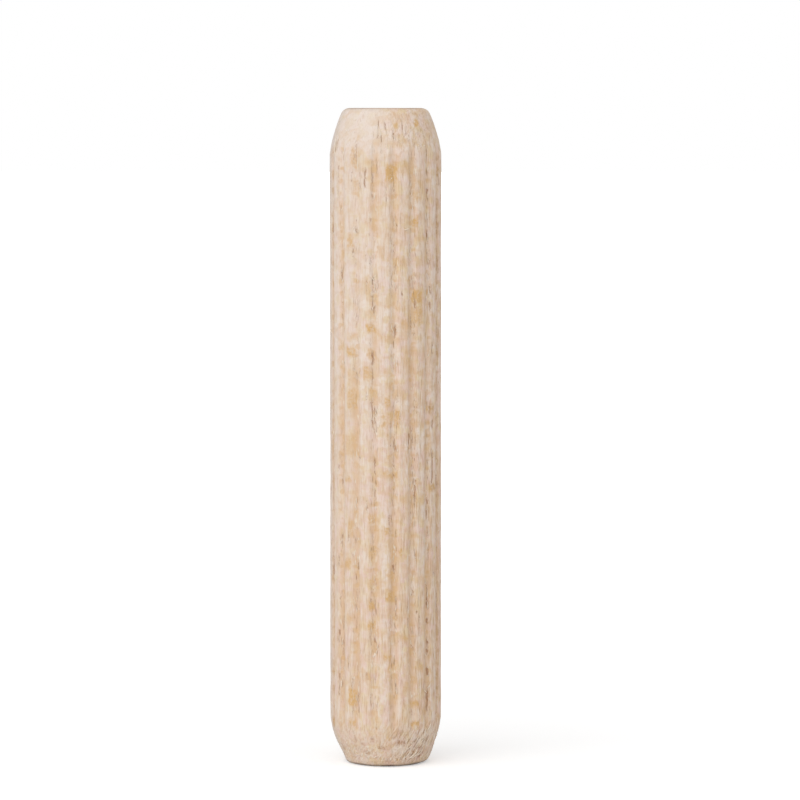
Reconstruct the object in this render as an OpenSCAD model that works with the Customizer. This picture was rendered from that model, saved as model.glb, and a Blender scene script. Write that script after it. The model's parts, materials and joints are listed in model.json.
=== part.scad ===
// Fluted wooden dowel pin for glued furniture joints.
// The pin stands on its lower end face: the origin is the centre of that face and +Z runs along the pin.
// It is one piece of beech: a round bar with flutes pressed along it, turned down to a taper at both ends.

/* [Pin] */
// Diameter over the lands, the size of the hole that the pin is driven into
pin_d = 6; // [5:0.5:12]
// Length over both end faces
pin_len = 35; // [20:1:60]

/* [Flutes] */
// Number of flutes round the pin
flute_count = 18; // [10:1:24]
// Width of a flute where it breaks the surface
flute_w = 0.47; // [0.3:0.01:0.6]
// Depth of a flute below the lands
flute_depth = 0.15; // [0.06:0.01:0.4]

/* [Ends] */
// Length of the taper at each end
taper_len = 2.45; // [1.5:0.05:4]
// How much the radius has dropped where the taper reaches the end face
taper_drop = 0.75; // [0.4:0.05:1.2]
// How far the taper bulges past a straight cone
taper_bulge = 0.09; // [0.02:0.01:0.16]
// Rounding between the taper and the flat end face
end_round = 0.5; // [0.2:0.05:0.7]

/* [Hidden] */
$fn = 180;
// Steps in a full turn of a flute's small round
flute_fn = 48;
// How far cutting shapes reach past the surface that they cut
overrun = 1;
// The end rounding stands this little proud, so that it crosses the faces it blends in one clean edge
blend_proud = 0.0003;

pin_r = pin_d / 2;
outside_r = pin_r + overrun;

// A flute is a round trough through both of its lips and its deepest point
flute_pitch = 360 / flute_count;
flute_lip_x = sqrt(pin_r ^ 2 - (flute_w / 2) ^ 2);
flute_floor_x = pin_r - flute_depth;
flute_x = (pin_r ^ 2 - flute_floor_x ^ 2) / (2 * (flute_lip_x - flute_floor_x));
flute_r = flute_x - flute_floor_x;

// The bulged side of the taper is an arc from the tip, at [tip_r, 0], to the shoulder, at [pin_r, taper_len]
tip_r = pin_r - taper_drop;
taper_chord = sqrt(taper_drop ^ 2 + taper_len ^ 2);
taper_angle = atan(taper_drop / taper_len);
bulge_r = (taper_chord ^ 2 / 4 + taper_bulge ^ 2) / (2 * taper_bulge);
bulge_x = (tip_r + pin_r) / 2 - (bulge_r - taper_bulge) * cos(taper_angle);
bulge_z = taper_len / 2 + (bulge_r - taper_bulge) * sin(taper_angle);

// The end rounding is an arc that touches both the end face and the bulged side
round_x = bulge_x + sqrt((bulge_r - end_round) ^ 2 - (bulge_z - end_round) ^ 2);
round_turn = acos((bulge_z - end_round) / (bulge_r - end_round));

// Cross-section: a disc with a round trough between each pair of lands.
// A land is centred on the -Y side, so the first flute sits half a pitch from it.
module fluted_section() {
    difference() {
        circle(r = pin_r);
        for (i = [0 : flute_count - 1])
            rotate((i + 0.5) * flute_pitch - 90)
                translate([flute_x, 0])
                    circle(r = flute_r, $fn = flute_fn);
    }
}

// What the end rounding takes off the corner: the sector outside its arc, from the end face round to the side
module end_corner() {
    reach = end_round + overrun;
    translate([round_x, end_round])
        difference() {
            polygon([
                [0, 0],
                [0, -reach],
                [reach, -reach],
                [reach * sin(round_turn), -reach * cos(round_turn)],
            ]);
            circle(r = end_round + blend_proud);
        }
}

// Half of the lengthwise outline as the lower end limits it, with radius along X and height along Y
module end_outline() {
    difference() {
        union() {
            translate([bulge_x, bulge_z])
                circle(r = bulge_r);
            translate([0, bulge_z])
                square([outside_r, pin_len]);
        }
        end_corner();
    }
}

// Turned envelope that both ends share: it clears the lands along the shank and trims the ends
module turned_envelope() {
    rotate_extrude()
        intersection() {
            square([outside_r, pin_len]);
            end_outline();
            translate([0, pin_len])
                mirror([0, 1])
                    end_outline();
        }
}

// The pin: the flutes run the full length and fade out in scallops where the tapers cut below them
module dowel_pin() {
    color([0.86, 0.76, 0.66])
        intersection() {
            linear_extrude(pin_len)
                fluted_section();
            turned_envelope();
        }
}

dowel_pin();
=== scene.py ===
"""A fluted beech dowel pin standing on its lower end, on a white studio floor.

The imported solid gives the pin's size and place. Its skin is turned, fluted and worn here at the fineness
that wood needs, and loose fibres are added where the tools tore it. Sizes are in metres. The pin's axis is
+Z, its lower end face lies on the floor at z = 0, and a land is centred on its -Y side. The rays of the wood
run along X, so the front and the back show them broadside and the two other sides show their ends.
"""

import itertools
import json
import logging
import math
from dataclasses import dataclass, field
from enum import Enum

import bpy
import numpy as np
from mathutils import Matrix, Vector
from mathutils.bvhtree import BVHTree

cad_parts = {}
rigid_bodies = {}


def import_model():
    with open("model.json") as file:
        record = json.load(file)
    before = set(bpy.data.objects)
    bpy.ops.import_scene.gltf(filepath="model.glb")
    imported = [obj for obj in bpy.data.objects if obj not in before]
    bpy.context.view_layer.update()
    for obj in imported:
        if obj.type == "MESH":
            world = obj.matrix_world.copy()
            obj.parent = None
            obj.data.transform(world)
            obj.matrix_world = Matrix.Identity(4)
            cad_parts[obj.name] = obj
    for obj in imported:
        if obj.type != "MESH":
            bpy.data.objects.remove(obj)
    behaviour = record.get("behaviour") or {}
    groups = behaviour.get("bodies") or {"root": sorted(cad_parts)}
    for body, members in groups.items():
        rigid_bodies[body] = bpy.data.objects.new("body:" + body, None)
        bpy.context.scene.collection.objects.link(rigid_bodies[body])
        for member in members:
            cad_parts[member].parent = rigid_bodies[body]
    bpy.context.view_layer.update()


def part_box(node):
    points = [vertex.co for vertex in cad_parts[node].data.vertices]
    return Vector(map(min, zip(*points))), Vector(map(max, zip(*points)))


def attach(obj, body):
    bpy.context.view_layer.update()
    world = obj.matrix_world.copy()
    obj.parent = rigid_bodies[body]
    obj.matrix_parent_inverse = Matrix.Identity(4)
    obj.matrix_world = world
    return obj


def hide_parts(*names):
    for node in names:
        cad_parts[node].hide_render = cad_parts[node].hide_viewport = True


LOG = logging.getLogger("dowel_pin")
MM = 0.001
NODE = "dowel_pin"
BODY = "root"
Cell = tuple[float, float, float]
Colour = tuple[float, float, float, float]
Socket = bpy.types.NodeSocket


class Patch(Enum):
    """Where loose fibres grow on the pin."""

    LOWER_TAPER = "lower taper"
    UPPER_TAPER = "upper taper"
    FLUTES = "flutes"


def smoothstep(low: float, high: float, value: np.ndarray) -> np.ndarray:
    """Ease from 0 at low to 1 at high.

    Args:
        low: Value at which the result is still 0.
        high: Value from which the result is 1; it may lie below low.
        value: Values to ease.

    Returns:
        The eased values, 0 to 1.
    """
    part = np.clip((value - low) / (high - low), 0.0, 1.0)
    return part * part * (3.0 - 2.0 * part)


class Grain:
    """Smooth random fields through the wood, the same on every run."""

    TABLE_SIZE = 4096
    MIXERS = (73856093, 19349663, 83492791)

    def __init__(self, seed: int) -> None:
        """Fill the table of lattice values.

        Args:
            seed: Seed of the random table.
        """
        self.table = np.random.default_rng(seed).random(self.TABLE_SIZE)

    def value(self, points: np.ndarray, cell: Cell) -> np.ndarray:
        """Blend random lattice values, as a cloud texture does.

        Args:
            points: Places to read, one row each.
            cell: Size of a lattice cell along X, Y and Z.

        Returns:
            One value a point, 0 to 1.
        """
        scaled = points / np.array(cell)
        base = np.floor(scaled).astype(np.int64)
        part = smoothstep(0.0, 1.0, scaled - base)
        total = np.zeros(len(points))
        for corner in itertools.product((0, 1), repeat=3):
            mixed = (base + np.array(corner)) * np.array(self.MIXERS)
            entry = (mixed[:, 0] ^ mixed[:, 1] ^ mixed[:, 2]) % self.TABLE_SIZE
            weight = np.prod(np.where(corner, part, 1.0 - part), axis=1)
            total += weight * self.table[entry]
        return total

    def ridges(self, points: np.ndarray, cell: Cell) -> np.ndarray:
        """Read the field as thin ridges, 1 on a ridge line and 0 away from it.

        Args:
            points: Places to read, one row each.
            cell: Size of a lattice cell along X, Y and Z.

        Returns:
            One value a point, 0 to 1.
        """
        return 1.0 - np.abs(2.0 * self.value(points, cell) - 1.0)


@dataclass(frozen=True)
class Spot:
    """A mark on the pin's side: its middle in degrees from the front and in mm of height, its size in mm."""

    turn: float
    height: float
    width: float
    length: float
    strength: float = 1.0

    def cover(self, turn: np.ndarray, height: np.ndarray, radius: float, soft: float) -> np.ndarray:
        """Measure how much of the mark lies at each place.

        Args:
            turn: Angles round the pin from its front, in radians.
            height: Heights.
            radius: Radius of the pin.
            soft: Width of the mark's soft edge.

        Returns:
            The mark's strength inside it, easing to 0 across its edge.
        """
        aside = (turn - math.radians(self.turn) + math.pi) % math.tau - math.pi
        across = np.abs(aside) * radius - self.width * MM / 2
        along = np.abs(height - self.height * MM) - self.length * MM / 2
        return self.strength * smoothstep(soft, -soft, across) * smoothstep(2 * soft, -2 * soft, along)


def column(turn: float, *marks: tuple[float, float, float, float]) -> tuple[Spot, ...]:
    """Line up marks that lie above one another.

    Args:
        turn: Where they lie, in degrees from the front.
        marks: Height, width and length in mm and strength of each.

    Returns:
        The marks.
    """
    return tuple(Spot(turn, *mark) for mark in marks)


@dataclass(frozen=True)
class Places:
    """Where a mesh's vertices lie: as points, as turns from the pin's front in radians, and as radii."""

    points: np.ndarray
    turn: np.ndarray
    radius: np.ndarray

    @classmethod
    def of(cls, piece: bpy.types.Object) -> "Places":
        """Read a mesh's vertices.

        Args:
            piece: The mesh's object, which sits at the origin.

        Returns:
            The vertices' places.
        """
        flat = np.empty(len(piece.data.vertices) * 3)
        piece.data.vertices.foreach_get("co", flat)
        points = flat.reshape(-1, 3)
        return cls(points, np.arctan2(points[:, 0], -points[:, 1]), np.hypot(points[:, 0], points[:, 1]))

    @property
    def height(self) -> np.ndarray:
        """Give the heights over the floor."""
        return self.points[:, 2]


@dataclass(frozen=True)
class PinShape:
    """The pin as it left the tools: a bar with bulged tapers, rounded rims and pressed flutes."""

    radius: float
    length: float
    taper_length: float = 2.45 * MM
    taper_drop: float = 0.75 * MM
    taper_bulge: float = 0.09 * MM
    end_round: float = 0.5 * MM
    flute_count: int = 18
    flute_reach: float = 0.42 * MM
    flute_depth: float = 0.15 * MM
    lip_softness: float = 0.035 * MM

    def end_outline(self, face_rings: int, round_rings: int, taper_rings: int) -> list[tuple[float, float]]:
        """Work out the outline of one end, from the centre of its face to the shoulder.

        Args:
            face_rings: Rings on the flat end face.
            round_rings: Rings on the rounded rim.
            taper_rings: Rings on the bulged taper.

        Returns:
            Pairs of radius and distance from the end face.
        """
        tip = self.radius - self.taper_drop
        chord = math.hypot(self.taper_drop, self.taper_length)
        slope = math.atan2(self.taper_drop, self.taper_length)
        bulge = (chord**2 / 4 + self.taper_bulge**2) / (2 * self.taper_bulge)
        bulge_x = (tip + self.radius) / 2 - (bulge - self.taper_bulge) * math.cos(slope)
        bulge_z = self.taper_length / 2 + (bulge - self.taper_bulge) * math.sin(slope)
        inner = bulge - self.end_round
        round_x = bulge_x + math.sqrt(inner**2 - (bulge_z - self.end_round) ** 2)
        turn = math.acos((bulge_z - self.end_round) / inner)
        outline = [(round_x * ring / face_rings, 0.0) for ring in range(face_rings)]
        for ring in range(round_rings):
            angle = turn * ring / round_rings
            rise = self.end_round * (1 - math.cos(angle))
            outline.append((round_x + self.end_round * math.sin(angle), rise))
        first = math.pi / 2 - turn
        last = math.atan2(bulge_z - self.taper_length, self.radius - bulge_x)
        for ring in range(taper_rings):
            angle = first + (last - first) * ring / taper_rings
            outline.append((bulge_x + bulge * math.cos(angle), bulge_z - bulge * math.sin(angle)))
        return outline

    def flute_phase(self, turn: np.ndarray) -> np.ndarray:
        """Measure how far round a point lies from the middle of its flute.

        Args:
            turn: Angles round the pin from its front, in radians.

        Returns:
            Angles from the middle of the nearest flute, in radians.
        """
        pitch = math.tau / self.flute_count
        return (turn % pitch) - pitch / 2

    def fluted(self, radius: np.ndarray, turn: np.ndarray, share: np.ndarray) -> np.ndarray:
        """Find the radius of the fluted surface, with soft lips where a flute meets a land or a taper.

        Args:
            radius: Radii of the turned blank.
            turn: Angles round the pin from its front, in radians.
            share: Depths of the flutes, as shares of their full depth.

        Returns:
            Radii of the pin.
        """
        aside = np.abs(self.flute_phase(turn)) * self.radius
        trough = np.cos(np.clip(aside / self.flute_reach, 0.0, 1.0) * math.pi / 2) ** 2
        floor = self.radius + self.lip_softness - (self.flute_depth * share + self.lip_softness) * trough
        blend = np.clip(0.5 - (floor - radius) / (2 * self.lip_softness), 0.0, 1.0)
        return radius * (1 - blend) + floor * blend - self.lip_softness * blend * (1 - blend)


@dataclass
class PinSkin:
    """The pin's surface: turned on a lathe, pressed with flutes and worn by the cutters."""

    shape: PinShape
    columns_per_flute: int = 20
    face_rings: int = 9
    round_rings: int = 7
    taper_rings: int = 24
    shank_rings: int = 194
    weld: float = 0.002 * MM
    flute_least: float = 0.58
    flute_spread: float = 0.52
    split_depth: float = 0.02 * MM
    split_edge: float = 0.035 * MM
    split_waver: float = math.radians(1.6)
    fleck_edge: float = 0.055 * MM
    fleck_waver: float = math.radians(3.0)
    fleck_raggedness: float = 0.25 * MM
    front_share: float = 0.4
    front_faintness: float = 0.45
    crumb_depth: float = 0.03 * MM
    crumb_edge: float = 0.05 * MM
    crumb_waver: float = math.radians(5.0)
    crumb_raggedness: float = 0.2 * MM
    swell_depth: float = 0.016 * MM
    fibre_depth: float = 0.018 * MM
    tear_depth: float = 0.04 * MM
    knock_depth: float = 0.13 * MM
    saw_depth: float = 0.012 * MM
    flecks: tuple[Spot, ...] = (
        *column(-52, (29.9, 0.30, 0.4, 0.50)),
        *column(-41, (15.4, 0.50, 0.3, 0.85), (10.9, 0.50, 0.5, 0.75)),
        *column(-37, (28.0, 0.40, 0.7, 0.75), (22.2, 0.55, 0.5, 0.80), (17.2, 0.75, 1.2, 0.50)),
        *column(-37, (12.8, 0.40, 0.9, 0.60), (8.0, 0.50, 0.4, 0.55)),
        *column(-35, (20.8, 0.60, 0.9, 0.50), (19.7, 0.60, 1.1, 0.70)),
        *column(-35, (3.8, 0.50, 0.9, 0.95), (2.4, 0.40, 0.4, 0.75)),
        *column(-33, (32.4, 0.40, 0.9, 0.55), (23.0, 0.35, 0.3, 0.55)),
        *column(-17, (32.2, 0.40, 0.4, 0.45), (31.3, 0.35, 0.3, 0.45), (29.0, 0.30, 0.4, 0.45)),
        *column(-17, (25.7, 0.30, 1.1, 0.50), (21.0, 0.55, 0.8, 0.70), (4.9, 0.25, 0.4, 0.60)),
        *column(-14, (24.2, 0.40, 0.4, 0.55), (23.4, 0.50, 0.5, 1.00)),
        *column(-14, (22.1, 0.50, 0.5, 0.70), (9.9, 0.35, 0.5, 0.70)),
        *column(-12, (29.8, 0.40, 0.4, 0.45), (20.1, 0.40, 0.3, 0.80), (16.5, 0.60, 0.3, 0.45)),
        *column(-13, (13.3, 0.40, 0.6, 0.80), (11.5, 0.40, 0.7, 0.60), (8.7, 0.35, 0.5, 0.90)),
        *column(-13, (7.7, 0.40, 0.5, 1.00), (6.2, 0.35, 0.3, 0.60), (1.9, 0.40, 0.3, 0.45)),
        *column(3, (22.9, 0.95, 0.4, 0.55), (21.1, 0.40, 0.3, 0.40)),
        *column(3, (19.5, 0.40, 0.5, 0.95), (18.6, 0.60, 0.8, 0.70)),
        *column(3, (12.7, 0.40, 0.5, 0.85), (6.0, 0.50, 0.3, 0.90)),
        *column(3, (2.3, 0.50, 0.3, 0.40), (1.6, 0.45, 0.2, 0.55)),
        *column(7, (31.6, 0.65, 1.0, 1.00), (17.7, 0.60, 0.4, 0.45), (15.7, 0.75, 0.4, 0.85)),
        *column(7, (10.3, 0.45, 0.4, 0.75), (9.2, 0.50, 0.7, 0.95), (5.4, 0.40, 0.4, 0.75)),
        *column(9, (32.5, 0.85, 0.2, 0.40), (25.3, 0.45, 0.4, 0.45), (24.6, 0.85, 0.3, 0.40)),
        *column(9, (16.7, 0.55, 0.4, 0.70), (11.5, 0.30, 0.9, 0.50)),
        *column(13, (34.1, 0.30, 0.3, 0.75), (29.9, 1.35, 0.2, 0.30), (18.7, 0.25, 1.0, 0.90)),
        *column(17, (11.6, 0.20, 0.5, 0.85)),
        *column(23, (31.9, 0.65, 0.7, 0.35), (23.6, 0.50, 0.7, 0.55), (21.9, 0.40, 0.9, 0.40)),
        *column(23, (14.3, 0.60, 0.4, 0.50), (7.0, 0.60, 0.3, 0.65), (4.4, 0.35, 0.6, 0.55)),
        *column(33, (29.0, 0.35, 0.5, 1.00), (18.4, 0.45, 0.4, 0.50), (17.5, 0.50, 0.4, 0.45)),
        *column(33, (3.4, 0.50, 0.4, 0.95), (2.4, 0.50, 0.3, 0.95)),
        *column(36, (30.3, 0.55, 0.4, 0.60), (25.1, 0.65, 0.8, 1.00), (24.1, 0.70, 0.9, 0.70)),
        *column(37, (21.1, 0.65, 0.3, 0.50), (15.2, 0.40, 0.3, 0.60)),
        *column(40, (34.2, 0.30, 0.4, 1.00), (28.1, 0.65, 0.4, 0.40)),
        *column(40, (14.3, 0.60, 0.4, 0.55), (5.3, 0.45, 0.5, 0.60)),
        *column(55, (19.1, 0.55, 0.4, 0.80), (9.1, 0.60, 0.4, 0.55)),
        *column(59, (20.3, 0.60, 0.4, 0.45), (14.9, 0.70, 0.4, 0.90)),
    )
    splits: tuple[Spot, ...] = (
        *column(-66, (33.0, 0.10, 0.8, 0.70)),
        *column(-60, (33.1, 0.09, 0.6, 0.70)),
        *column(-55, (31.6, 0.09, 0.9, 0.60), (16.0, 0.10, 0.4, 0.70), (11.0, 0.10, 0.6, 0.60)),
        *column(-55, (6.9, 0.11, 0.8, 0.90), (4.8, 0.12, 0.5, 0.95), (4.2, 0.10, 0.8, 0.75)),
        *column(-40, (12.3, 0.08, 0.5, 0.65), (5.6, 0.08, 0.8, 0.60)),
        *column(-35, (31.4, 0.08, 0.7, 0.70), (11.4, 0.08, 0.3, 0.80), (8.7, 0.07, 0.2, 0.70)),
        *column(-35, (4.5, 0.08, 0.8, 0.75), (2.9, 0.07, 0.7, 0.65)),
        *column(-31, (29.1, 0.07, 0.2, 0.80), (26.9, 0.07, 0.2, 0.70), (24.1, 0.07, 0.2, 0.80)),
        *column(-31, (20.9, 0.07, 0.5, 0.70), (10.1, 0.07, 0.5, 0.80), (9.0, 0.07, 1.2, 0.80)),
        *column(-18, (25.6, 0.07, 0.7, 0.60), (19.8, 0.07, 0.5, 0.70)),
        *column(-18, (14.0, 0.07, 0.6, 0.75), (4.9, 0.07, 0.5, 0.70)),
        *column(-14, (29.1, 0.07, 0.3, 0.65), (28.4, 0.07, 0.2, 0.80), (27.0, 0.07, 0.5, 0.75)),
        *column(-14, (22.7, 0.07, 0.2, 0.80), (19.5, 0.07, 0.3, 0.80)),
        *column(-14, (9.0, 0.07, 0.3, 0.75), (3.7, 0.07, 0.8, 0.70)),
        *column(-12, (31.3, 0.07, 0.8, 0.65), (25.8, 0.07, 1.0, 0.85), (24.8, 0.07, 0.8, 0.80)),
        *column(-12, (22.0, 0.07, 0.3, 0.80), (20.9, 0.07, 0.7, 0.70), (12.3, 0.07, 0.5, 0.65)),
        *column(-10, (18.8, 0.09, 1.0, 0.95), (16.1, 0.09, 0.9, 0.90), (14.7, 0.09, 0.5, 0.90)),
        *column(-10, (13.1, 0.07, 0.8, 0.75), (9.9, 0.07, 0.4, 0.80), (8.9, 0.07, 0.5, 0.75)),
        *column(-10, (6.9, 0.09, 0.4, 0.95), (4.8, 0.07, 0.5, 0.60)),
        *column(-7, (34.3, 0.07, 0.4, 0.85), (33.9, 0.08, 1.0, 0.95), (31.6, 0.07, 0.5, 0.60)),
        *column(-3, (33.4, 0.08, 0.4, 0.85)),
        *column(1, (34.1, 0.07, 0.6, 0.85), (7.8, 0.09, 0.1, 0.90)),
        *column(8, (25.9, 0.07, 0.5, 0.70), (13.2, 0.07, 0.7, 0.70), (4.6, 0.07, 0.9, 0.70)),
        *column(10, (33.8, 0.08, 0.2, 0.75), (33.5, 0.08, 0.4, 0.90), (30.5, 0.07, 0.5, 0.60)),
        *column(10, (29.1, 0.07, 0.3, 0.65), (27.6, 0.07, 0.6, 0.60), (20.2, 0.07, 0.5, 0.60)),
        *column(10, (19.2, 0.07, 0.8, 0.70), (14.8, 0.07, 0.3, 0.65), (10.7, 0.09, 0.4, 0.90)),
        *column(12, (25.3, 0.07, 0.2, 0.80), (23.3, 0.07, 0.5, 0.80)),
        *column(12, (17.1, 0.09, 0.4, 0.90), (15.9, 0.07, 0.2, 0.75)),
        *column(12, (8.9, 0.07, 0.5, 0.80), (8.2, 0.07, 0.4, 0.70), (4.5, 0.07, 0.7, 0.75)),
        *column(16, (33.3, 0.07, 0.3, 0.75), (18.7, 0.07, 0.5, 0.60)),
        *column(21, (34.1, 0.08, 0.6, 0.95)),
        *column(25, (33.7, 0.06, 0.3, 0.75), (8.1, 0.07, 1.2, 0.65)),
        *column(28, (31.3, 0.07, 0.7, 0.80), (30.4, 0.07, 0.6, 0.80), (27.8, 0.07, 0.6, 0.60)),
        *column(29, (23.6, 0.07, 1.4, 0.70), (13.4, 0.07, 0.6, 0.75)),
        *column(31, (25.7, 0.07, 0.5, 0.70), (16.1, 0.07, 1.0, 0.60), (9.5, 0.08, 0.6, 0.80)),
        *column(33, (33.1, 0.07, 0.3, 0.75), (26.0, 0.07, 0.5, 0.65)),
        *column(33, (19.3, 0.07, 0.9, 0.60), (11.3, 0.07, 1.2, 0.60)),
        *column(38, (7.7, 0.08, 1.2, 0.65)),
        *column(48, (33.6, 0.09, 0.4, 0.70), (1.5, 0.13, 0.7, 0.95)),
        *column(51, (30.6, 0.12, 0.4, 0.95), (29.0, 0.09, 0.5, 0.60), (28.3, 0.12, 0.5, 1.00)),
        *column(51, (14.2, 0.12, 0.4, 0.95), (13.6, 0.10, 0.9, 0.75)),
        *column(51, (9.0, 0.12, 0.8, 0.90), (7.8, 0.13, 0.3, 0.95)),
        *column(51, (6.4, 0.13, 0.8, 0.90), (5.1, 0.13, 0.5, 1.00), (3.5, 0.13, 1.2, 1.00)),
        *column(54, (26.9, 0.10, 0.2, 0.80), (25.4, 0.10, 0.5, 0.80)),
        *column(54, (24.6, 0.10, 0.8, 0.70), (19.1, 0.10, 0.4, 0.80)),
        *column(57, (22.3, 0.10, 0.9, 0.80), (18.3, 0.12, 0.5, 0.90), (16.0, 0.13, 1.8, 0.95)),
        *column(60, (10.3, 0.12, 0.2, 0.80)),
        *column(73, (22.4, 0.14, 0.5, 0.80)),
    )
    loose_splits: int = 560
    crumbs: tuple[Spot, ...] = (
        Spot(-33.6, 1.50, 0.13, 0.40, 0.8),
        Spot(-13.1, 1.55, 0.13, 0.24, 0.7),
        Spot(-3.8, 1.09, 0.44, 0.14),
        Spot(16.3, 1.39, 0.38, 0.24),
        Spot(22.8, 1.31, 0.12, 0.30, 0.9),
        Spot(-22.9, 0.78, 0.38, 0.13, 0.7),
        Spot(27.6, 0.59, 0.10, 0.42),
        Spot(45.5, 0.99, 0.44, 0.13, 0.9),
        Spot(49.3, 0.56, 0.11, 0.36),
        Spot(36.0, 0.80, 0.16, 0.14, 0.8),
        Spot(4.0, 0.30, 0.36, 0.10, 0.6),
        Spot(9.0, 1.70, 0.15, 0.12, 0.6),
        Spot(-26.0, 1.20, 0.18, 0.14, 0.5),
    )
    loose_crumbs: int = 26
    grain: Grain = field(default_factory=lambda: Grain(11))
    rng: np.random.Generator = field(default_factory=lambda: np.random.default_rng(5))

    def outline(self) -> list[tuple[float, float]]:
        """Work out the whole lengthwise outline, from the lower to the upper face centre.

        Returns:
            Pairs of radius and height.
        """
        shape = self.shape
        lower = shape.end_outline(self.face_rings, self.round_rings, self.taper_rings)
        run = shape.length - 2 * shape.taper_length
        heights = [shape.taper_length + run * ring / self.shank_rings for ring in range(self.shank_rings + 1)]
        shank = [(shape.radius, height) for height in heights]
        upper = [(radius, shape.length - height) for radius, height in reversed(lower)]
        return lower + shank + upper

    def turn_blank(self) -> bpy.types.Object:
        """Draw the outline point by point and turn it round the axis.

        Returns:
            The turned blank, without flutes.
        """
        bpy.ops.object.select_all(action="DESELECT")
        bpy.ops.mesh.primitive_plane_add(size=self.shape.radius, location=(0.0, 0.0, 0.0))
        blank = bpy.context.object
        blank.name = blank.data.name = "pin_skin"
        bpy.ops.object.mode_set(mode="EDIT")
        bpy.ops.mesh.select_all(action="SELECT")
        bpy.ops.mesh.merge(type="CENTER")
        last = Vector((0.0, 0.0, 0.0))
        for radius, height in self.outline()[1:]:
            place = Vector((0.0, -radius, height))
            bpy.ops.mesh.extrude_region_move(TRANSFORM_OT_translate={"value": place - last})
            last = place
        bpy.ops.object.mode_set(mode="OBJECT")
        lathe = blank.modifiers.new("lathe", "SCREW")
        lathe.steps = lathe.render_steps = self.shape.flute_count * self.columns_per_flute
        lathe.use_merge_vertices = True
        lathe.merge_threshold = self.weld
        lathe.use_normal_calculate = True
        bpy.ops.object.modifier_apply(modifier=lathe.name)
        bpy.ops.object.shade_smooth()
        return blank

    def press_flutes(self, blank: bpy.types.Object) -> None:
        """Press the flutes into the blank and mark where they lie.

        Args:
            blank: The turned blank.
        """
        shape = self.shape
        at = Places.of(blank)
        swell = self.grain.value(at.points, (1.3 * MM, 1.3 * MM, 9.0 * MM))
        share = self.flute_least + self.flute_spread * swell
        depth = at.radius - shape.fluted(at.radius, at.turn, share)
        depth = np.where(at.radius > 0.5 * shape.radius, np.maximum(depth, 0.0), 0.0)
        dent(blank, "flutes", depth)
        write_mark(blank, "flute", np.clip(depth / shape.flute_depth, 0.0, 1.0))

    def all_splits(self) -> list[Spot]:
        """Add small random fissures to the listed ones, most of them in the flutes.

        Returns:
            All fissures.
        """
        step = 360 / self.shape.flute_count
        made = list(self.splits)
        for _ in range(self.loose_splits):
            flute = int(self.rng.integers(self.shape.flute_count))
            made.append(
                Spot(
                    turn=(flute + 0.5 + self.rng.normal(0.0, 0.17)) * step,
                    height=self.rng.uniform(0.05, 0.96) * self.shape.length / MM,
                    width=self.rng.uniform(0.04, 0.12),
                    length=0.2 + 1.3 * self.rng.random() ** 2,
                    strength=0.25 + 0.7 * self.rng.random() ** 2,
                )
            )
        return made

    def open_splits(self, blank: bpy.types.Object) -> None:
        """Open the fissures and mark them.

        Args:
            blank: The fluted blank.
        """
        at = Places.of(blank)
        waver = (self.grain.value(at.points, (0.8 * MM, 0.8 * MM, 0.22 * MM)) - 0.5) * self.split_waver
        opened = np.zeros(len(at.points))
        for split in self.all_splits():
            near = np.abs(at.height - split.height * MM) < split.length * MM
            turn = at.turn[near] + waver[near]
            cover = split.cover(turn, at.height[near], self.shape.radius, self.split_edge)
            opened[near] = np.maximum(opened[near], cover)
        ragged = 0.6 + 0.8 * self.grain.value(at.points, (0.3 * MM, 0.3 * MM, 0.2 * MM))
        opened = np.clip(opened * ragged, 0.0, 1.0)
        dent(blank, "splits", self.split_depth * opened)
        write_mark(blank, "fissure", opened)

    def all_flecks(self) -> list[Spot]:
        """Add random flecks along every flute, broad in front and behind, narrow at the sides.

        The ones in front are faint, because the listed flecks stand out there.

        Returns:
            All flecks.
        """
        step = 360 / self.shape.flute_count
        made = list(self.flecks)
        for flute in range(self.shape.flute_count):
            middle = (flute + 0.5) * step
            facing = math.cos(math.radians(middle))
            height = self.rng.uniform(1.2, 2.2)
            faint = self.front_faintness if facing > self.front_share else 1.0
            while height < self.shape.length / MM - 1.5:
                made.append(
                    Spot(
                        turn=middle + self.rng.normal(0.0, 1.6),
                        height=height,
                        width=0.14 + self.rng.uniform(0.14, 0.40) * abs(facing),
                        length=self.rng.uniform(0.20, 0.60),
                        strength=faint * (0.24 + 0.76 * self.rng.random() ** 1.3),
                    )
                )
                height += self.rng.uniform(0.45, 1.20)
        return made

    def stain_flecks(self, blank: bpy.types.Object) -> None:
        """Mark the rays that lie open at the surface.

        Args:
            blank: The fluted blank.
        """
        at = Places.of(blank)
        waver = self.grain.value(at.points, (0.15 * MM, 0.15 * MM, 0.15 * MM)) - 0.5
        ragged = self.grain.value(at.points + 5 * MM, (0.12 * MM, 0.12 * MM, 0.4 * MM)) - 0.5
        turn = at.turn + waver * self.fleck_waver
        height = at.height + ragged * self.fleck_raggedness
        shown = np.zeros(len(at.points))
        for fleck in self.all_flecks():
            near = np.abs(height - fleck.height * MM) < fleck.length * MM
            cover = fleck.cover(turn[near], height[near], self.shape.radius, self.fleck_edge)
            shown[near] = np.maximum(shown[near], cover)
        write_mark(blank, "fleck", shown)

    def all_crumbs(self) -> list[Spot]:
        """Add random torn spots on the lower taper's sides and back to the listed ones.

        Returns:
            All torn spots.
        """
        made = list(self.crumbs)
        for _ in range(self.loose_crumbs):
            made.append(
                Spot(
                    turn=self.rng.uniform(60.0, 300.0),
                    height=self.rng.uniform(0.4, 1.8),
                    width=self.rng.uniform(0.08, 0.36),
                    length=self.rng.uniform(0.08, 0.28),
                    strength=self.rng.uniform(0.4, 1.0),
                )
            )
        return made

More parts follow.
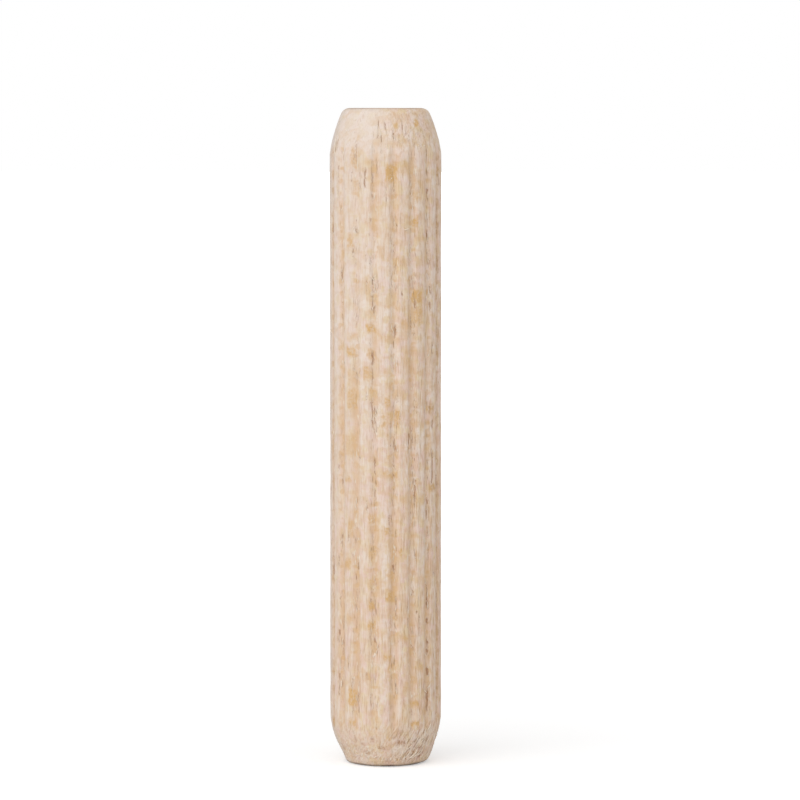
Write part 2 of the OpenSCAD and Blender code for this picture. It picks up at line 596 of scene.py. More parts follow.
    def tear_crumbs(self, blank: bpy.types.Object) -> None:
        """Break small crumbs out of the lower taper and mark where they lay.

        Args:
            blank: The fluted blank.
        """
        at = Places.of(blank)
        cell = (0.2 * MM, 0.2 * MM, 0.2 * MM)
        turn = at.turn + (self.grain.value(at.points, cell) - 0.5) * self.crumb_waver
        height = at.height + (self.grain.value(at.points + 4 * MM, cell) - 0.5) * self.crumb_raggedness
        shown = np.zeros(len(at.points))
        for crumb in self.all_crumbs():
            shown = np.maximum(shown, crumb.cover(turn, height, self.shape.radius, self.crumb_edge))
        dent(blank, "crumbs", self.crumb_depth * shown)
        write_mark(blank, "pit", shown)

    def raise_fibres(self, blank: bpy.types.Object, at: Places, side: np.ndarray) -> None:
        """Raise the side's grain in broad swells and fine fibres.

        Args:
            blank: The fluted blank.
            at: Its places before the wear.
            side: How far each vertex belongs to the side.
        """
        swell = self.grain.value(at.points, (0.5 * MM, 0.5 * MM, 4.0 * MM))
        fibre = self.grain.value(at.points, (0.11 * MM, 0.11 * MM, 0.9 * MM))
        dent(blank, "fibres", side * (self.swell_depth * swell + self.fibre_depth * fibre))

    def tear_ends(self, blank: bpy.types.Object, at: Places, side: np.ndarray) -> None:
        """Tear the lower taper all round and the upper one lightly, and mark where they are torn.

        Args:
            blank: The fluted blank.
            at: Its places before the wear.
            side: How far each vertex belongs to the side.
        """
        low = smoothstep(3.0 * MM, 1.3 * MM, at.height)
        high = smoothstep(2.4 * MM, 1.0 * MM, self.shape.length - at.height)
        high *= 0.12 + 0.28 * smoothstep(-0.3, 0.2, np.sin(at.turn))
        patchy = smoothstep(0.3, 0.6, self.grain.value(at.points + 2 * MM, (0.9 * MM, 0.9 * MM, 0.7 * MM)))
        rim = smoothstep(0.05 * MM, 0.4 * MM, self.from_end(at))
        torn = np.maximum(low, high) * rim * (0.35 + 0.65 * patchy)
        lean = at.points.copy()
        lean[:, 2] += 0.9 * at.points[:, 0]
        crush = 1.0 - self.grain.ridges(lean, (0.2 * MM, 0.2 * MM, 0.5 * MM))
        dent(blank, "tears", side * torn * self.tear_depth * crush)
        write_mark(blank, "torn", torn)

    def knock_corner(self, blank: bpy.types.Object, at: Places, side: np.ndarray) -> None:
        """Knock the lower corner dull on the viewer's left.

        Args:
            blank: The fluted blank.
            at: Its places before the wear.
            side: How far each vertex belongs to the side.
        """
        left = np.clip(-np.sin(at.turn), 0.0, 1.0)
        corner = smoothstep(1.7 * MM, 0.3 * MM, at.height) * smoothstep(0.0, 0.2 * MM, at.height)
        dent(blank, "knock", side * self.knock_depth * corner * left)

    def saw_faces(self, blank: bpy.types.Object, at: Places, side: np.ndarray) -> None:
        """Roughen the end faces as a saw leaves them, and mark where they lie.

        Args:
            blank: The fluted blank.
            at: Its places before the wear.
            side: How far each vertex belongs to the side.
        """
        from_end = self.from_end(at)
        face = 1.0 - smoothstep(0.6 * self.shape.radius, 0.66 * self.shape.radius, at.radius)
        face = face * (from_end < 0.001 * MM)
        saw = self.grain.value(at.points + 3 * MM, (0.7 * MM, 0.12 * MM, 9.0 * MM))
        dent(blank, "saw", face * self.saw_depth * saw)
        write_mark(blank, "sawn", (1.0 - side) * smoothstep(0.1 * MM, 0.0, from_end))

    def from_end(self, at: Places) -> np.ndarray:
        """Measure how far each vertex lies from the nearer end face."""
        return np.minimum(at.height, self.shape.length - at.height)

    def build(self) -> bpy.types.Object:
        """Turn, flute and wear the pin.

        Returns:
            The pin's skin, at its place.
        """
        blank = self.turn_blank()
        self.press_flutes(blank)
        self.stain_flecks(blank)
        self.open_splits(blank)
        self.tear_crumbs(blank)
        at = Places.of(blank)
        side = smoothstep(0.6 * self.shape.radius, 0.72 * self.shape.radius, at.radius)
        for wear in (self.raise_fibres, self.tear_ends, self.knock_corner, self.saw_faces):
            wear(blank, at, side)
        return blank


@dataclass(frozen=True)
class Sliver:
    """A raised sliver: its root's place and its size, and in degrees how it leans, curls and lifts.

    It leans from upright to the viewer's right, curls back towards the surface along its length, and its
    root lifts off the surface.
    """

    root: Spot
    lean: float
    curl: float
    lift: float


@dataclass
class LooseFibres:
    """Slivers that the tools raised: curled, cream-coloured and thinner than a hair at their tips.

    Their flatness is their thickness as a share of their width.
    """

    skin: bpy.types.Object
    shape: PinShape
    flatness: float = 6 / 11
    root_depth: float = 0.01 * MM
    steps: int = 8
    tip_share: float = 0.08
    tip_bulge: float = 0.6
    placed: tuple[Sliver, ...] = (
        Sliver(Spot(51.5, 4.20, 0.09, 0.60), 35.0, 190.0, 75.0),
        Sliver(Spot(50.5, 3.95, 0.07, 0.45), -60.0, 130.0, 60.0),
        Sliver(Spot(33.0, 0.45, 0.12, 0.80), 30.0, 60.0, 30.0),
        Sliver(Spot(26.0, 0.50, 0.10, 0.75), 24.0, 60.0, 30.0),
        Sliver(Spot(19.5, 0.55, 0.09, 0.60), 20.0, 56.0, 28.0),
        Sliver(Spot(39.0, 0.50, 0.10, 0.70), 34.0, 60.0, 30.0),
        Sliver(Spot(45.0, 0.55, 0.10, 0.60), 30.0, 60.0, 30.0),
        Sliver(Spot(14.0, 0.75, 0.08, 0.45), 24.0, 56.0, 28.0),
        Sliver(Spot(30.0, 1.05, 0.08, 0.45), 26.0, 56.0, 28.0),
        Sliver(Spot(47.0, 1.45, 0.13, 1.00), 12.0, 44.0, 20.0),
        Sliver(Spot(52.0, 1.90, 0.10, 0.60), 20.0, 50.0, 24.0),
        Sliver(Spot(-63.0, 32.50, 0.11, 1.10), 3.0, 20.0, 5.0),
        Sliver(Spot(-4.2, 33.50, 0.07, 0.55), -3.0, 40.0, 16.0),
        Sliver(Spot(-7.0, 33.80, 0.06, 0.45), 4.0, 40.0, 16.0),
        Sliver(Spot(1.6, 33.60, 0.06, 0.40), 6.0, 50.0, 20.0),
        Sliver(Spot(11.5, 33.30, 0.06, 0.35), -14.0, 70.0, 30.0),
        Sliver(Spot(24.4, 33.80, 0.06, 0.40), -4.0, 50.0, 22.0),
        Sliver(Spot(38.0, 33.00, 0.07, 0.24), 60.0, 70.0, 30.0),
        Sliver(Spot(41.5, 33.05, 0.07, 0.24), -50.0, 70.0, 30.0),
        Sliver(Spot(45.0, 33.00, 0.07, 0.22), 70.0, 70.0, 30.0),
        Sliver(Spot(-8.0, 6.20, 0.07, 0.35), 20.0, 130.0, 60.0),
        Sliver(Spot(89.0, 2.25, 0.08, 0.20), 0.0, 60.0, 45.0),
        Sliver(Spot(-11.0, 25.95, 0.07, 0.50), -30.0, 150.0, 60.0),
        Sliver(Spot(21.0, 28.60, 0.06, 0.40), 70.0, 100.0, 45.0),
        Sliver(Spot(-54.0, 5.20, 0.07, 0.80), 2.0, 30.0, 14.0),
        Sliver(Spot(31.0, 29.60, 0.06, 0.60), -6.0, 50.0, 24.0),
        Sliver(Spot(-9.0, 17.90, 0.06, 0.50), 8.0, 60.0, 30.0),
        Sliver(Spot(-9.0, 25.30, 0.07, 0.45), -12.0, 90.0, 40.0),
        Sliver(Spot(-12.5, 24.40, 0.06, 0.35), 14.0, 80.0, 36.0),
        Sliver(Spot(9.8, 25.55, 0.06, 0.40), 10.0, 100.0, 46.0),
        Sliver(Spot(9.5, 23.20, 0.07, 0.35), -20.0, 140.0, 60.0),
        Sliver(Spot(-9.0, 18.85, 0.07, 0.45), 10.0, 80.0, 36.0),
        Sliver(Spot(-32.0, 23.60, 0.06, 0.30), 24.0, 130.0, 60.0),
        Sliver(Spot(51.8, 25.10, 0.08, 0.50), 6.0, 80.0, 36.0),
        Sliver(Spot(52.0, 28.00, 0.08, 0.55), -4.0, 70.0, 32.0),
        Sliver(Spot(29.8, 30.40, 0.06, 0.45), 4.0, 70.0, 32.0),
        Sliver(Spot(-7.0, 6.45, 0.07, 0.40), 12.0, 110.0, 50.0),
        Sliver(Spot(13.2, 4.00, 0.06, 0.55), -4.0, 60.0, 28.0),
        Sliver(Spot(-12.6, 3.20, 0.06, 0.50), 4.0, 60.0, 28.0),
        Sliver(Spot(32.4, 12.90, 0.07, 0.50), 6.0, 80.0, 36.0),
        Sliver(Spot(52.0, 12.30, 0.08, 0.65), 4.0, 60.0, 28.0),
        Sliver(Spot(52.0, 8.45, 0.08, 0.55), -8.0, 90.0, 40.0),
        Sliver(Spot(-52.0, 6.50, 0.08, 0.45), 6.0, 80.0, 36.0),
        Sliver(Spot(-52.5, 4.25, 0.08, 0.50), 4.0, 60.0, 28.0),
        Sliver(Spot(-31.0, 14.10, 0.06, 0.55), 8.0, 70.0, 32.0),
        Sliver(Spot(11.0, 8.40, 0.06, 0.45), 16.0, 100.0, 46.0),
        Sliver(Spot(31.0, 7.20, 0.06, 0.50), -10.0, 90.0, 40.0),
    )
    counts: dict[Patch, int] = field(
        default_factory=lambda: {Patch.LOWER_TAPER: 110, Patch.UPPER_TAPER: 30, Patch.FLUTES: 200}
    )
    rng: np.random.Generator = field(default_factory=lambda: np.random.default_rng(23))

    def narrowing(self, left: float) -> float:
        """Give a sliver's width, as a share of its root's, where this share of its length is left."""
        return max(left, self.tip_share) ** self.tip_bulge

    def draw_sliver(self) -> bpy.types.Object:
        """Draw out one straight sliver of unit length along +Z, flat across X and pointed at its tip.

        Returns:
            The sliver that all others are copied from.
        """
        bpy.ops.object.select_all(action="DESELECT")
        bpy.ops.mesh.primitive_circle_add(vertices=6, radius=0.5, fill_type="NGON")
        drawn = bpy.context.object
        drawn.name = "sliver"
        bpy.ops.object.mode_set(mode="EDIT")
        bpy.ops.mesh.select_all(action="SELECT")
        bpy.ops.transform.resize(value=(1.0, self.flatness, 1.0))
        for step in range(self.steps):
            before = 1.0 - step / self.steps
            left = 1.0 - (step + 1) / self.steps
            shrink = self.narrowing(left) / self.narrowing(before)
            bpy.ops.mesh.extrude_region_move(TRANSFORM_OT_translate={"value": (0.0, 0.0, 1.0 / self.steps)})
            bpy.ops.transform.resize(value=(shrink, shrink, 1.0))
        bpy.ops.mesh.select_all(action="SELECT")
        bpy.ops.mesh.normals_make_consistent(inside=False)
        bpy.ops.object.mode_set(mode="OBJECT")
        return drawn

    def grow(self, drawn: bpy.types.Object, tree: BVHTree, sliver: Sliver) -> None:
        """Copy the drawn sliver, curl it and root it in the skin.

        Args:
            drawn: The straight sliver.
            tree: The skin's surface.
            sliver: Where the copy grows, and how.
        """
        root = sliver.root
        turn = math.radians(root.turn)
        out = Vector((math.sin(turn), -math.cos(turn), 0.0))
        start = out * self.shape.radius * 2 + Vector((0.0, 0.0, root.height * MM))
        place, normal, _, _ = tree.ray_cast(start, -out)
        up = Vector((0.0, 0.0, 1.0))
        up = (up - normal * up.dot(normal)).normalized()
        along = Matrix.Rotation(-math.radians(sliver.lean), 3, normal) @ up
        along = Matrix.Rotation(math.radians(sliver.lift), 3, along.cross(normal)) @ along
        side = along.cross(normal).normalized()
        face = side.cross(along)
        copy = drawn.copy()
        copy.data = drawn.data.copy()
        bpy.context.collection.objects.link(copy)
        bpy.context.view_layer.objects.active = copy
        copy.data.transform(Matrix.Diagonal((1.0, root.width / root.length, 1.0, 1.0)))
        bend = copy.modifiers.new("curl", "SIMPLE_DEFORM")
        bend.deform_method = "BEND"
        bend.deform_axis = "X"
        bend.angle = math.radians(sliver.curl)
        bpy.ops.object.modifier_apply(modifier=bend.name)
        width = root.width * MM
        length = root.length * MM
        frame = Matrix((side * width, -face * length, along * length)).transposed().to_4x4()
        copy.data.transform(Matrix.Translation(place - normal * self.root_depth) @ frame)
        copy.name = "fibre"

    def scatter(self, patch: Patch) -> list[Sliver]:
        """Choose places for the slivers of one patch.

        Args:
            patch: Where they grow.

        Returns:
            The slivers, in the order in which they were chosen.
        """
        rng = self.rng
        length = self.shape.length / MM
        extra_curl = 10.0 if patch is Patch.LOWER_TAPER else 2.0
        chosen = []
        for _ in range(self.counts[patch]):
            turn = rng.uniform(-180.0, 180.0)
            if patch is Patch.LOWER_TAPER:
                height = rng.uniform(0.3, 1.6)
                lean = rng.normal(18.0, 20.0)
                size = rng.uniform(0.15, 0.40)
            elif patch is Patch.UPPER_TAPER:
                height = length - rng.uniform(0.5, 2.6)
                lean = rng.normal(0.0, 14.0)
                size = rng.uniform(0.15, 0.40)
            else:
                flute = int(rng.integers(self.shape.flute_count)) + 0.5 + rng.normal(0.0, 0.14)
                turn = flute * 360 / self.shape.flute_count
                height = rng.uniform(2.5, length - 3.0)
                lean = rng.normal(0.0, 22.0)
                size = rng.uniform(0.18, 0.50)
            root = Spot(turn, height, rng.uniform(0.04, 0.075), size)
            lift = rng.uniform(5.0, 14.0)
            if patch is Patch.FLUTES and rng.random() < 0.25:
                lift = rng.uniform(20.0, 45.0)
            chosen.append(Sliver(root, lean, lift * rng.uniform(1.8, 2.4) + extra_curl, lift))
        return chosen

    def build(self) -> bpy.types.Object:
        """Grow all the fibres and join them.

        Returns:
            One piece that holds every fibre.
        """
        tree = BVHTree.FromObject(self.skin, bpy.context.evaluated_depsgraph_get())
        drawn = self.draw_sliver()
        chosen = list(self.placed)
        for patch in Patch:
            chosen += self.scatter(patch)
        for sliver in chosen:
            self.grow(drawn, tree, sliver)
        bpy.data.objects.remove(drawn)
        bpy.ops.object.select_all(action="DESELECT")
        fibres = [piece for piece in bpy.data.objects if piece.name.startswith("fibre")]
        for piece in fibres:
            piece.select_set(True)
        bpy.context.view_layer.objects.active = fibres[0]
        bpy.ops.object.join()
        joined = bpy.context.object
        joined.name = joined.data.name = "torn_fibres"
        bpy.ops.object.shade_smooth()
        return joined


def dent(piece: bpy.types.Object, name: str, depths: np.ndarray) -> None:
    """Push a mesh in along its normals, by a Displace modifier on a painted vertex group.

    Args:
        piece: The mesh's object.
        name: Name of the group while it is in use.
        depths: How far to push each vertex, 0 or more.
    """
    deepest = float(depths.max())
    group = piece.vertex_groups.new(name=name)
    for number in np.flatnonzero(depths > 0.0).tolist():
        group.add((number,), float(depths[number]) / deepest, "REPLACE")
    press = piece.modifiers.new(name, "DISPLACE")
    press.vertex_group = name
    press.mid_level = 0.0
    press.strength = -deepest
    bpy.ops.object.modifier_apply(modifier=press.name)
    piece.vertex_groups.clear()


def write_mark(piece: bpy.types.Object, name: str, values: np.ndarray) -> None:
    """Keep one number a vertex for the finish to read.

    Args:
        piece: The mesh's object.
        name: Name of the mark.
        values: One value a vertex.
    """
    layer = piece.data.attributes.new(name=name, type="FLOAT", domain="POINT")
    layer.data.foreach_set("value", values.astype(np.float32))


class Nodes:
    """A short way to lay out a material's nodes."""

    def __init__(self, tree: bpy.types.NodeTree) -> None:
        """Start with an empty tree.

        Args:
            tree: The node tree to fill.
        """
        self.tree = tree
        tree.nodes.clear()

    def add(self, kind: str, inputs: dict | None = None, **settings: object) -> bpy.types.Node:
        """Add a node, set its properties and fill its inputs.

        Args:
            kind: Type name of the node.
            inputs: Values or sockets, by the input's name or number.
            **settings: Properties of the node.

        Returns:
            The node.
        """
        node = self.tree.nodes.new(kind)
        for name, value in settings.items():
            setattr(node, name, value)
        for name, value in (inputs or {}).items():
            if isinstance(value, Socket):
                self.tree.links.new(value, node.inputs[name])
            else:
                node.inputs[name].default_value = value
        return node

    def math(self, operation: str, a: object, b: object = 0.0, clamp: bool = False) -> Socket:
        """Add a Math node.

        Args:
            operation: Name of the operation.
            a: First value or socket.
            b: Second value or socket.
            clamp: Whether the result is kept within 0 and 1.

        Returns:
            The result's socket.
        """
        return self.add("ShaderNodeMath", {0: a, 1: b}, operation=operation, use_clamp=clamp).outputs[0]

    def times(self, a: object, b: object) -> Socket:
        """Multiply two values or sockets."""
        return self.math("MULTIPLY", a, b)

    def vector(self, operation: str, a: object, b: object) -> Socket:
        """Add a Vector Math node.

        Args:
            operation: Name of the operation.
            a: First vector or socket.
            b: Second vector or socket.

        Returns:
            The result's socket.
        """
        return self.add("ShaderNodeVectorMath", {0: a, 1: b}, operation=operation).outputs[0]

    def split(self, vector: Socket) -> tuple[Socket, Socket, Socket]:
        """Take a vector apart into its X, Y and Z."""
        return tuple(self.add("ShaderNodeSeparateXYZ", {0: vector}).outputs)

    def length(self, vector: Socket) -> Socket:
        """Measure a vector's length."""
        return self.add("ShaderNodeVectorMath", {0: vector}, operation="LENGTH").outputs["Value"]

    def mark(self, name: str) -> Socket:
        """Read a mark that the skin keeps."""
        return self.add("ShaderNodeAttribute", attribute_name=name).outputs["Fac"]

    def object_places(self) -> Socket:
        """Read the Object coordinates."""
        return self.add("ShaderNodeTexCoord").outputs["Object"]

    def ramp(self, value: Socket, low: float, high: float, start: float = 0.0, end: float = 1.0) -> Socket:
        """Ease a value from start at low to end at high.

        Args:
            value: Socket to ease.
            low: Value at which the result is start.
            high: Value at which the result is end; it may lie below low.
            start: Result on the low side.
            end: Result on the high side.

        Returns:
            The result's socket.
        """
        inputs = {"Value": value, "From Min": low, "From Max": high, "To Min": start, "To Max": end}
        return self.add("ShaderNodeMapRange", inputs, interpolation_type="SMOOTHSTEP").outputs[0]

    def mix(self, share: object, a: object, b: object, blend: str = "MIX") -> Socket:
        """Mix two colours.

        Args:
            share: How much of the second colour, as a number or a socket.
            a: First colour or socket.
            b: Second colour or socket.
            blend: Blend mode.

        Returns:
            The mixed colour's socket.
        """
        node = self.add("ShaderNodeMix", data_type="RGBA", blend_type=blend)
        for number, value in ((0, share), (6, a), (7, b)):
            if isinstance(value, Socket):
                self.tree.links.new(value, node.inputs[number])
            else:
                node.inputs[number].default_value = value
        return node.outputs[2]

    def coat(self, colour: object, *coats: tuple[Socket, object]) -> Socket:
        """Lay tones over a colour, one after another.

        Args:
            colour: The lowest colour or its socket.
            coats: How much of each tone shows, and the tone or its socket.

        Returns:
            The finished colour's socket.
        """
        for share, tone in coats:
            colour = self.mix(share, colour, tone)
        return colour

    def cloud(self, source: Socket, cell: Cell, detail: float = 2.0, rough: float = 0.5) -> Socket:
        """Add a noise texture with blotches of the given size.

        Args:
            source: Coordinates.
            cell: Size of a blotch along each axis, in the coordinates' unit.
            detail: Number of finer layers.
            rough: Strength of the finer layers.

        Returns:
            The noise's socket, about 0.5 on average.
        """
        scaled = self.vector("DIVIDE", source, cell)
        inputs = {"Vector": scaled, "Scale": 1.0, "Detail": detail, "Roughness": rough}
        return self.add("ShaderNodeTexNoise", inputs).outputs[0]

    def dress(self, inputs: dict[str, object]) -> None:
        """Add a Principled shader with the given inputs and show it on the surface."""
        shader = self.add("ShaderNodeBsdfPrincipled", inputs)
        self.add("ShaderNodeOutputMaterial", {"Surface": shader.outputs[0]})


def new_material(name: str) -> tuple[bpy.types.Material, Nodes]:
    """Start a material.

    Args:
        name: Its name.

    Returns:
        The material, and a way to lay out its nodes.
    """
    material = bpy.data.materials.new(name)
    material.use_nodes = True
    return material, Nodes(material.node_tree)


@dataclass(frozen=True)
class Ground:
    """What every layer of the beech reads: places in mm, the same wandering with the grain, and the marks."""

    nodes: Nodes
    place: Socket
    grain: Socket
    marks: dict[str, Socket]

    @classmethod
    def lay(cls, nodes: Nodes) -> "Ground":
        """Lay out the coordinates and the marks.

        Args:
            nodes: The tree being laid out.

        Returns:
            Their sockets.
        """
        scale = nodes.add("ShaderNodeVectorMath", {0: nodes.object_places()}, operation="SCALE")
        scale.inputs["Scale"].default_value = 1 / MM
        place = scale.outputs[0]
        cell = nodes.vector("DIVIDE", place, (5.0, 5.0, 5.0))
        wander = nodes.add("ShaderNodeTexNoise", {"Vector": cell, "Scale": 1.0}).outputs["Color"]
        grain = nodes.vector("ADD", place, nodes.vector("MULTIPLY", wander, (0.5, 0.5, 0.0)))
        marks = {name: nodes.mark(name) for name in ("flute", "fleck", "fissure", "torn", "pit", "sawn")}
        return cls(nodes, place, grain, marks)


@dataclass(frozen=True)
class BeechFinish:
    """Raw, dry beech: matt, beige to pink, with streaks, ochre ray flecks, fine pores and torn fibres.

    Its upper end face lies at end_height, in mm as all of its coordinates are.
    """

    end_height: float
    tan: Colour = (0.77, 0.58, 0.42, 1.0)
    cream: Colour = (0.855, 0.73, 0.635, 1.0)
    pink: Colour = (0.80, 0.585, 0.50, 1.0)
    yellow: Colour = (0.78, 0.605, 0.385, 1.0)
    # painted light: the paler, cooler tone of the lit left side and its top
    pale_light_tint: Colour = (0.79, 0.705, 0.64, 1.0)
    # painted shade: a darker, cooler grey along the outermost left edge
    grey: Colour = (0.655, 0.575, 0.525, 1.0)
    honey: Colour = (0.725, 0.495, 0.32, 1.0)
    ochre: Colour = (0.69, 0.435, 0.195, 1.0)
    ray_end: Colour = (0.52, 0.32, 0.16, 1.0)
    pore: Colour = (0.40, 0.235, 0.125, 1.0)
    fissure: Colour = (0.42, 0.205, 0.10, 1.0)
    shred: Colour = (0.90, 0.80, 0.68, 1.0)
    # dark lines at the end faces; at the lower one, painted shade where it meets the floor
    rim: Colour = (0.11, 0.075, 0.055, 1.0)
    end_tint: Colour = (0.86, 0.80, 0.74, 1.0)
    roughness: float = 0.75
    specular: float = 0.35
    sheen: float = 0.06
    sheen_roughness: float = 0.45
    bump_strength: float = 0.85
    bump_height: float = 0.03 * MM
    pore_sinking: float = 0.5
    shred_rising: float = 0.7

    def wood(self, ground: Ground) -> Socket:
        """Lay out the tones of the wood between its marks.

        Args:
            ground: Coordinates and marks.

        Returns:
            The colour's socket.
        """
        nodes = ground.nodes
        height = nodes.split(ground.place)[2]
        broad = nodes.cloud(ground.grain, (0.8, 0.8, 7.0))
        blush = nodes.cloud(ground.place, (0.55, 0.55, 0.90), 2.0, 0.55)
        elsewhere = nodes.vector("ADD", ground.place, (7.0, 3.0, 5.0))
        yellow = nodes.cloud(elsewhere, (0.50, 0.50, 0.55), 2.0, 0.55)
        bands = nodes.cloud(ground.grain, (1.2, 0.8, 0.7), 3.0, 0.6)
        mottle = nodes.cloud(ground.place, (0.28, 0.28, 0.40), 2.0, 0.55)
        streak = nodes.cloud(ground.grain, (0.13, 0.13, 1.3), 2.0, 0.6)
        return nodes.coat(
            self.tan,
            (nodes.ramp(broad, 0.42, 0.58, 0.05, 0.95), self.cream),
            (nodes.ramp(blush, 0.43, 0.60), self.pink),
            (nodes.ramp(height, 9.0, 33.0, 0.0, 0.40), self.cream),
            (nodes.ramp(height, 3.0, 26.0, 0.08, 0.0), self.honey),
            (nodes.ramp(yellow, 0.50, 0.62, 0.0, 0.85), self.yellow),
            (nodes.ramp(bands, 0.49, 0.64, 0.0, 0.52), self.honey),
            (nodes.ramp(bands, 0.48, 0.32, 0.0, 0.42), self.cream),
            (nodes.ramp(mottle, 0.51, 0.68, 0.0, 0.46), self.honey),
            (nodes.ramp(mottle, 0.46, 0.28, 0.0, 0.42), self.cream),
            (nodes.ramp(streak, 0.52, 0.72, 0.0, 0.46), self.cream),
            (nodes.ramp(streak, 0.47, 0.30, 0.0, 0.38), self.honey),
            *self.straws(ground),
            # painted light on the left side and at its top
            (self.painted_pale_light(ground), self.pale_light_tint),
            # painted shade along the outermost left edge
            (self.painted_edge_shade(ground), self.grey),
        )

    def straws(self, ground: Ground) -> tuple[tuple[Socket, Colour], ...]:
        """Lay out the finest light and dark lines of the grain, strongest at the lower right.

        Args:
            ground: Coordinates and marks.

        Returns:
            How much of each line's tone shows, and the tone.
        """
        nodes = ground.nodes
        across, _, height = nodes.split(ground.place)
        low = nodes.ramp(height, 4.0, 22.0, 1.1, 0.7)
        gain = nodes.times(low, nodes.ramp(across, 0.3, 2.2, 0.85, 1.25))
        straw = nodes.cloud(ground.grain, (0.06, 0.06, 0.9), 1.0)
        light = nodes.times(nodes.ramp(straw, 0.54, 0.70, 0.0, 0.55), gain)
        dark = nodes.times(nodes.ramp(straw, 0.46, 0.30, 0.0, 0.54), gain)
        return (light, self.cream), (dark, self.ray_end)

    def painted_pale_light(self, ground: Ground) -> Socket:
        """Lay out the painted light: a paler, cooler tone on the lit left side, more so upwards, and at the
        top of it.

        Args:
            ground: Coordinates and marks.

        Returns:
            The painted light's strength.
        """
        nodes = ground.nodes
        across, _, height = nodes.split(ground.place)
        upwards = nodes.ramp(height, 6.0, 24.0, 0.45, 1.0)
        left = nodes.times(nodes.ramp(across, 0.8, -2.2, 0.0, 0.36), upwards)
        top = nodes.times(nodes.ramp(across, 0.8, -0.8), nodes.ramp(height, 31.0, 33.5, 0.0, 0.55))
        return nodes.math("MAXIMUM", left, top)

    def painted_edge_shade(self, ground: Ground) -> Socket:
        """Lay out the painted shade along the outermost left edge: patches of a darker, cooler grey.

        Args:
            ground: Coordinates and marks.

        Returns:
            The painted shade's strength.
        """
        nodes = ground.nodes
        flat = nodes.vector("MULTIPLY", ground.place, (1.0, 1.0, 0.0))
        west = nodes.math("DIVIDE", nodes.split(ground.place)[0], nodes.length(flat))
        patches = nodes.ramp(nodes.cloud(ground.place, (0.7, 0.7, 2.5), 2.0, 0.6), 0.30, 0.60, 0.5, 1.0)
        return nodes.times(patches, nodes.ramp(west, -0.87, -0.985, 0.0, 0.66))

    def flute_tinge_and_shade(self, ground: Ground) -> Socket:
        """Lay out where the flutes are darker than the lands, partly their own tone and partly painted shade
        in the grooves.

        Args:
            ground: Coordinates and marks.

        Returns:
            The tinge's strength.
        """
        nodes = ground.nodes
        tinge = nodes.ramp(nodes.cloud(ground.place, (1.5, 1.5, 7.0), 1.0), 0.40, 0.60, 0.10, 0.85)
        return nodes.times(ground.marks["flute"], tinge)

    def flecks(self, ground: Ground) -> tuple[Socket, Socket]:
        """Lay out the rays that lie open: ochre in front and behind, browner at the sides.

        Args:
            ground: Coordinates and marks.

        Returns:
            The flecks' strength and their colour.
        """
        nodes = ground.nodes
        edge = nodes.cloud(ground.place, (0.18, 0.18, 0.14), 3.0, 0.6)
        shown = nodes.times(ground.marks["fleck"], nodes.ramp(edge, 0.3, 0.62, 0.5, 1.1))
        rows = nodes.ramp(nodes.cloud(ground.place, (0.8, 0.30, 0.33), 1.0), 0.50, 0.68, 0.0, 0.55)
        rows = nodes.times(rows, nodes.ramp(ground.marks["flute"], 0.0, 0.7, 0.40, 1.0))
        amount = nodes.math("MAXIMUM", shown, rows, clamp=True)
        aside = nodes.math("ABSOLUTE", nodes.split(ground.place)[0])
        return amount, nodes.mix(nodes.ramp(aside, 2.1, 2.95, 0.0, 0.8), self.ochre, self.ray_end)

    def pores(self, ground: Ground) -> Socket:
        """Lay out the fine dark pores, crowded in patches and in the flutes.

        Args:
            ground: Coordinates and marks.

        Returns:
            The pores' strength.
        """
        nodes = ground.nodes
        fine = nodes.ramp(nodes.cloud(ground.grain, (0.06, 0.06, 0.6), 1.0), 0.61, 0.74)
        crowd = nodes.ramp(nodes.cloud(ground.place, (0.9, 0.9, 2.2), 1.0), 0.38, 0.62, 0.2, 0.95)
        fluted = nodes.ramp(ground.marks["flute"], 0.0, 0.7, 0.2, 0.9)
        return nodes.times(nodes.times(fine, crowd), fluted)

    def shreds(self, ground: Ground) -> Socket:
        """Lay out the pale shreds of raised grain, crowded in patches and in the flutes.

        Args:
            ground: Coordinates and marks.

        Returns:
            The shreds' strength.
        """
        nodes = ground.nodes
        fine = nodes.ramp(nodes.cloud(ground.grain, (0.075, 0.075, 0.42), 1.0), 0.60, 0.70)
        crowd = nodes.ramp(nodes.cloud(ground.place, (0.7, 0.7, 1.6), 1.0), 0.42, 0.60, 0.1, 0.85)
        fluted = nodes.ramp(ground.marks["flute"], 0.0, 0.5, 0.35, 1.0)
        return nodes.times(nodes.times(fine, crowd), fluted)

    def cracks(self, ground: Ground) -> tuple[Socket, Socket]:
        """Lay out the cracks in each fissure, with pale lips beside them, partly pale torn fibre and partly
        painted highlight on their raised edges.

        Args:
            ground: Coordinates and marks.

        Returns:
            The strength of the pale lips with their painted highlight, and of the cracks.
        """
        nodes = ground.nodes
        fissure = ground.marks["fissure"]
        thread = nodes.cloud(ground.grain, (0.13, 0.13, 0.75), 2.0, 0.6)
        apart = nodes.math("ABSOLUTE", nodes.math("SUBTRACT", thread, 0.5))
        crack = nodes.ramp(apart, 0.010, 0.040, 1.0, 0.0)
        # pale lips beside the crack: torn fibre with a painted highlight
        lip = nodes.times(nodes.ramp(apart, 0.035, 0.05), nodes.ramp(apart, 0.07, 0.09, 1.0, 0.0))
        dark = nodes.math("MAXIMUM", crack, nodes.ramp(fissure, 0.50, 0.85, 0.12, 0.84))
        return nodes.times(fissure, lip), nodes.times(fissure, dark)

